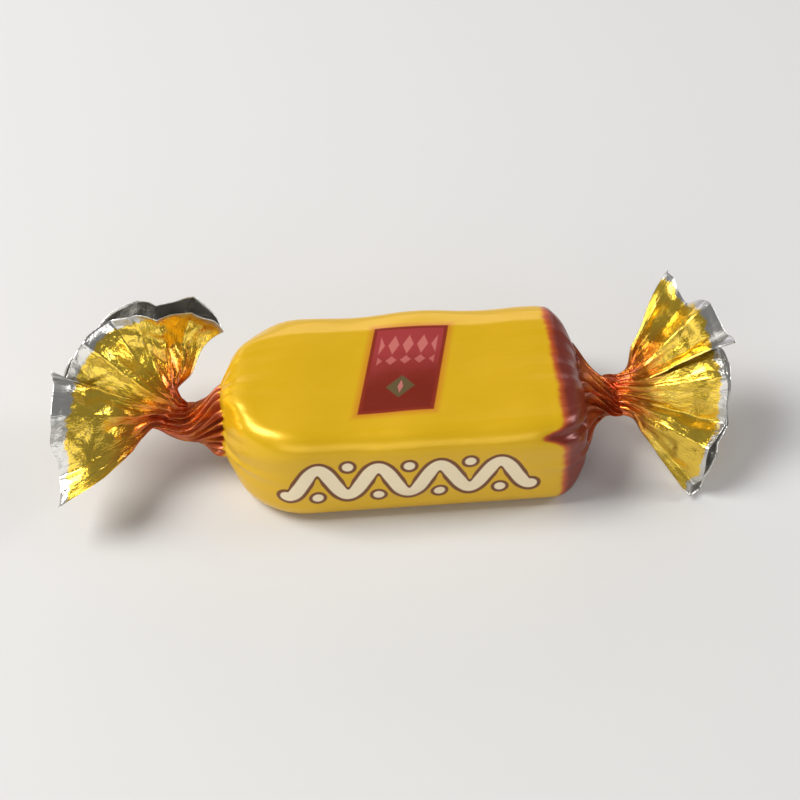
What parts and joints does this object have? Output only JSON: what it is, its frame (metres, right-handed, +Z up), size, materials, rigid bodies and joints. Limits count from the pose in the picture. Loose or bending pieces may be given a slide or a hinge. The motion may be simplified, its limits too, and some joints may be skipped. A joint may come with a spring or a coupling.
{
  "type": "wrapped butter toffee",
  "caption": "Oblong butter toffee in a shut twist wrapper: rounded block, pleated shoulders, twisted necks and ruffled fans of film at both ends.",
  "frame": {"origin": "centre of the flat underside of the block, on the surface that the toffee lies on", "axes": "+X along the block from its rounder end towards its squarer end, which has the narrower fan, +Y across the block away from the side that faces the viewer in the picture, +Z up from the underside through the broad top side"},
  "size_m": [0.0651, 0.019, 0.014],
  "materials": {
    "printed_film": "yellow metallised film with a soft gloss, printed maroon to orange at the twists and bare silver along the cut ends and inside"
  },
  "bodies": {
    "root": {"wrapped_toffee": "printed_film"}
  },
  "joints": []
}
